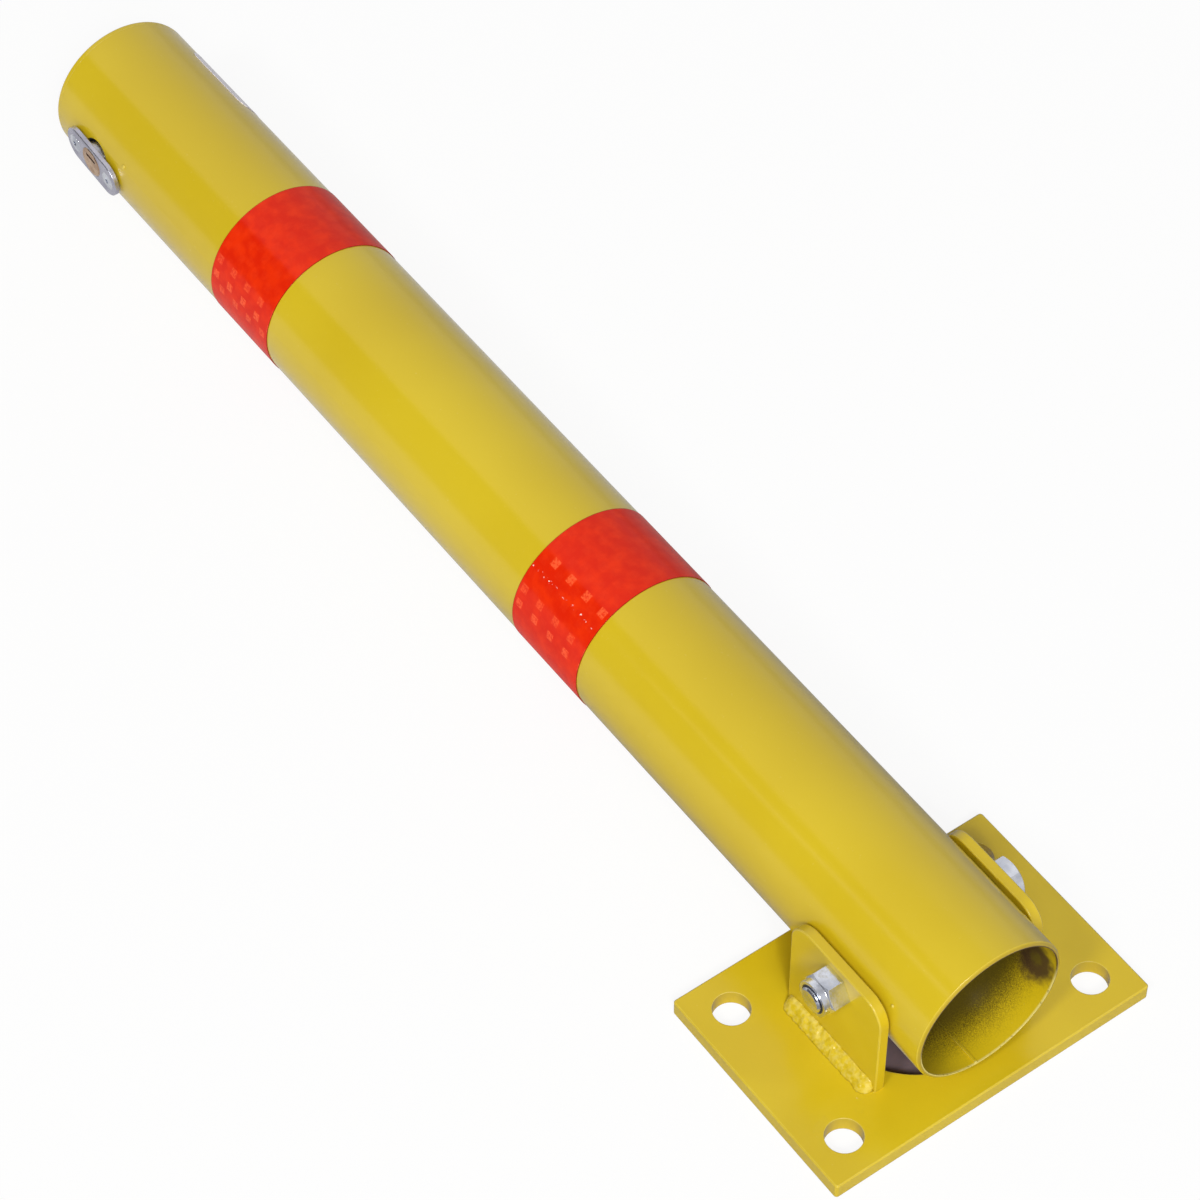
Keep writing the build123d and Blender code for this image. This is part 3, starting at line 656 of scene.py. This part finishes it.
# Seam of the welded tube, along the bottom of its inside, from the foot to short of the lower guide
SEAM_ANGLE = math.radians(-173.3)
SEAM_HALF_WIDTH = math.radians(1.0)
SEAM_HEIGHT = 0.8 * MM
SEAM_ROOT = 0.1 * MM
SEAM_FROM_GUIDE = 2 * MM
SEAM_FROM_FOOT = 0.3 * MM
seam_ends = (guide_high.x + SEAM_FROM_GUIDE, foot_x - SEAM_FROM_FOOT)
seam_angles = (SEAM_ANGLE - SEAM_HALF_WIDTH, SEAM_ANGLE + SEAM_HALF_WIDTH)
seam_radii = (wall_inside - SEAM_HEIGHT, wall_inside + SEAM_ROOT)
strip_round_post("tube_seam", seam_ends, seam_angles, seam_radii, "post_paint", columns=40)

# Lap where each band's tape ends over its start, low on the far side
LAP_ANGLES = (math.radians(128), math.radians(150))
for level, low, high in (
    ("upper", upper_band_low, upper_band_high),
    ("lower", lower_band_low, lower_band_high),
):
    radii = (band_radius, band_radius + TAPE_LAP)
    strip_round_post(f"{level}_band_lap", (low.x, high.x), LAP_ANGLES, radii, "red_tape", rows=16)

# Blank label with rounded corners, in place of its square-cut CAD node
LABEL_ANGLES = (math.radians(47), math.radians(104))
LABEL_CORNER = 7 * MM
LABEL_THICKNESS = 0.2 * MM
LABEL_GAP = 0.02 * MM
film_radius = post_radius + LABEL_GAP
label = strip_round_post(
    "label_sheet",
    (label_low.x, label_high.x),
    LABEL_ANGLES,
    (film_radius, film_radius + LABEL_THICKNESS),
    "label_film",
    columns=32,
    rows=32,
    corner=LABEL_CORNER,
)
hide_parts("blank_label")

SPATTER_HEIGHT = 0.7 * MM
SPATTER_SUNK = 0.05 * MM


def spatter(name, place, outward, width, rings=5, sides=14):
    """Small bead that the welding threw onto a surface, painted over with it."""
    across = outward.orthogonal().normalized()
    along = outward.cross(across)
    mesh = bmesh.new()
    top = mesh.verts.new(place + outward * SPATTER_HEIGHT)
    loops = []
    for ring in range(1, rings + 1):
        slope = ring / rings * math.pi / 2
        rise = SPATTER_HEIGHT * math.cos(slope) - (SPATTER_SUNK if ring == rings else 0)
        loop = []
        for side in range(sides):
            turn = side / sides * 2 * math.pi
            spread = across * math.cos(turn) + along * math.sin(turn)
            loop.append(mesh.verts.new(place + spread * (width / 2 * math.sin(slope)) + outward * rise))
        loops.append(loop)
    for side in range(sides):
        follow = (side + 1) % sides
        mesh.faces.new((top, loops[0][side], loops[0][follow])).smooth = True
        for loop, after in zip(loops, loops[1:]):
            mesh.faces.new((loop[side], after[side], after[follow], loop[follow])).smooth = True
    mesh.faces.new(loops[-1])
    add_piece(name, mesh, "weld_paint", "post")


# Spatter on the post, beside the lock and beside the near ear
for name, x, degrees, width in (
    ("lock_side_spatter", -576 * MM, -71, 2.4 * MM),
    ("ear_side_spatter", 28 * MM, -72, 1.8 * MM),
):
    angle = math.radians(degrees)
    outward = post_point(0, 1, angle) - post_point(0, 0, angle)
    spatter(name, post_point(x, post_radius, angle), outward, width)


def add_to_stage(name, corners, material):
    """Flat card that isn't part of the object."""
    data = bpy.data.meshes.new(name)
    data.from_pydata([Vector(corner) for corner in corners], [], [range(len(corners))])
    data.materials.append(material)
    card = bpy.data.objects.new(name, data)
    bpy.context.scene.collection.objects.link(card)
    return card


def level_square(size, z):
    """Corners of a level square around the origin."""
    half = size / 2
    return [(-half, -half, z), (half, -half, z), (half, half, z), (-half, half, z)]


def light_card(name, corners, strength, middle_strength=None):
    """Card seen only in reflections, as in a photographer's studio, with another strength at the origin."""
    material = bpy.data.materials.new(name)
    nodes = Nodes(material)
    if middle_strength is not None:
        strength = nodes.ease(nodes.from_origin(), MIDDLE_START, MIDDLE_END, middle_strength, strength)
    glow = nodes.add("Emission", {"Strength": strength})
    nodes.add("OutputMaterial", {"Surface": glow.outputs[0]})
    card = add_to_stage(name, corners, material)
    card.visible_camera = False
    card.visible_diffuse = False
    card.visible_shadow = False


# Dark card on the near side, grey ones low on the far side, above the foot and under the floor, and
# a narrow bright one that draws the streak on the post near its foot
for name, strength, corners in (
    ("near_side_card", 0.08, [(-4.2, -2.0, 0), (1.4, -2.4, 0), (1.4, -1.6, 2.3), (-4.2, -1.25, 2.0)]),
    ("far_side_card", 0.5, [(-6, 3, 0), (3, 3, 0), (3, 3, 0.62), (-6, 3, 0.62)]),
    ("foot_card", 0.5, [(-0.62, -0.7, 1.12), (0.7, -0.7, 1.12), (0.7, 0.55, 1.12), (-0.48, 0.4, 1.12)]),
    ("streak_card", 2.2, [(-0.9, -1.1, 0.8), (-0.86, -1.1, 0.88), (-0.4, -1.08, 1.12), (-0.4, -1.08, 1.02)]),
):
    light_card(name, corners, strength)
corners = level_square(FLOOR_CARD_SIZE, plate_low.z - 0.5 * FLOOR_DROP)
light_card("floor_card", corners, FLOOR_CARD_STRENGTH, FLOOR_CARD_MIDDLE_STRENGTH)


def floor_material():
    """Pale floor: seen as white, with a share of its own light and shadow kept, and a painted shade under the
    plate's middle opening.
    """
    material = bpy.data.materials.new("pale_floor")
    nodes = Nodes(material)
    # Painted shade: a dark ground colour where the plate's middle opening shows the floor, since little light
    # reaches it there
    fade_start = SHADED_GROUND_RADIUS - SHADED_GROUND_FADE
    shaded = nodes.ease(nodes.from_origin(), SHADED_GROUND_RADIUS, fade_start)
    tone = nodes.mix(shaded, colour(FLOOR_COLOUR), colour(SHADED_GROUND_COLOUR))
    own_light = nodes.add("BsdfDiffuse", {"Color": tone}).outputs[0]
    white = nodes.add("Emission", {"Strength": 1.0}).outputs[0]
    seen = nodes.larger(nodes.seen_directly(), nodes.mirrored())
    share = nodes.times(seen, FLOOR_WHITE, nodes.minus(1.0, shaded))
    blend = nodes.add("MixShader", {0: share, 1: own_light, 2: white}).outputs[0]
    nodes.add("OutputMaterial", {"Surface": blend})
    return material


floor = add_to_stage("floor", level_square(FLOOR_SIZE, 0), floor_material())
floor.location.z = plate_low.z - FLOOR_DROP

# World: even light on the object, and white behind it
world = bpy.data.worlds.new("studio")
bpy.context.scene.world = world
sky_nodes = Nodes(world)
strength = sky_nodes.larger(SKY_LIGHT, sky_nodes.times(sky_nodes.mirrored(), SKY_MIRRORED))
strength = sky_nodes.larger(strength, sky_nodes.seen_directly())
sky = sky_nodes.add("Background", {"Color": WHITE, "Strength": strength})
sky_nodes.add("OutputWorld", {"Surface": sky.outputs[0]})


def round_lamp(name, direction, size, power):
    """Round lamp in a direction from the origin, aimed at it."""
    data = bpy.data.lights.new(name, "AREA")
    data.shape = "DISK"
    data.size = size
    data.energy = power
    lamp = bpy.data.objects.new(name, data)
    direction = Vector(direction).normalized()
    lamp.location = direction * LAMP_DISTANCE
    lamp.rotation_euler = direction.to_track_quat("Z", "Y").to_euler()
    bpy.context.scene.collection.objects.link(lamp)


round_lamp("soft_key", KEY_DIRECTION, SOFT_KEY_SIZE, SOFT_KEY_POWER)
round_lamp("hard_key", KEY_DIRECTION, HARD_KEY_SIZE, HARD_KEY_POWER)
round_lamp("fill", FILL_DIRECTION, FILL_SIZE, FILL_POWER)

# Camera
camera_data = bpy.data.cameras.new("camera")
camera_data.lens = CAMERA_LENS
camera_data.sensor_width = CAMERA_SENSOR
camera = bpy.data.objects.new("camera", camera_data)
camera.location = CAMERA_PLACE
looking = Vector(CAMERA_TARGET) - Vector(CAMERA_PLACE)
turn = looking.to_track_quat("-Z", "Y") @ Quaternion((0, 0, 1), CAMERA_ROLL)
camera.rotation_euler = turn.to_euler()
bpy.context.scene.collection.objects.link(camera)
bpy.context.scene.camera = camera
bpy.context.scene.view_settings.view_transform = "Standard"
